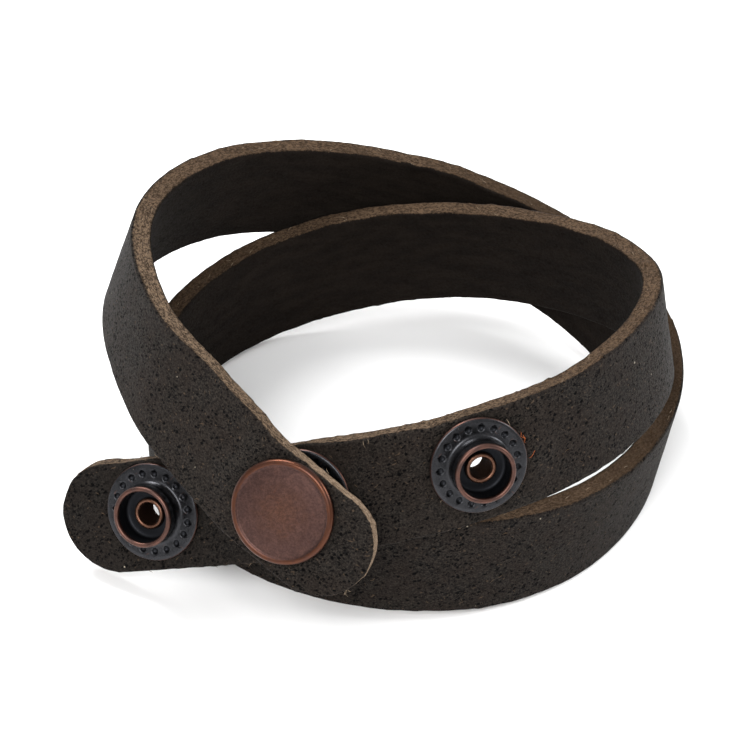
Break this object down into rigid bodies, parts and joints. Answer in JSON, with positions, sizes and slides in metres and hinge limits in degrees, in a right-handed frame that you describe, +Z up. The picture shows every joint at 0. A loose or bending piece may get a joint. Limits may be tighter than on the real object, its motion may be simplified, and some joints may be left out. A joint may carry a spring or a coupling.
{
  "type": "leather wrap bracelet",
  "caption": "Flat leather strap that goes round the wrist twice and closes with a domed ring snap; further snap studs set the size.",
  "frame": {"origin": "on the surface the bracelet rests on, under the middle of its outline", "axes": "+X to the right with the free tab at the front left, +Y to the back, +Z up out of the loop"},
  "size_m": [0.0704, 0.068, 0.0299],
  "materials": {
    "leather": "dark brown grained leather with open pores, light fibrous cut edges",
    "antique_copper": "brushed antique copper plating on brass, bright rolled rim",
    "gunmetal": "dark blue-grey plating on brass, worn to copper on the high rims",
    "eyelet_copper": "antique copper plating on a rolled tube"
  },
  "bodies": {
    "root": {"strap": "leather", "snap_cap": "antique_copper", "snap_socket": "gunmetal", "stud_1": "gunmetal", "stud_2": "gunmetal", "stud_3": "gunmetal", "eyelet_1": "eyelet_copper", "eyelet_2": "eyelet_copper", "eyelet_3": "eyelet_copper"}
  },
  "joints": []
}
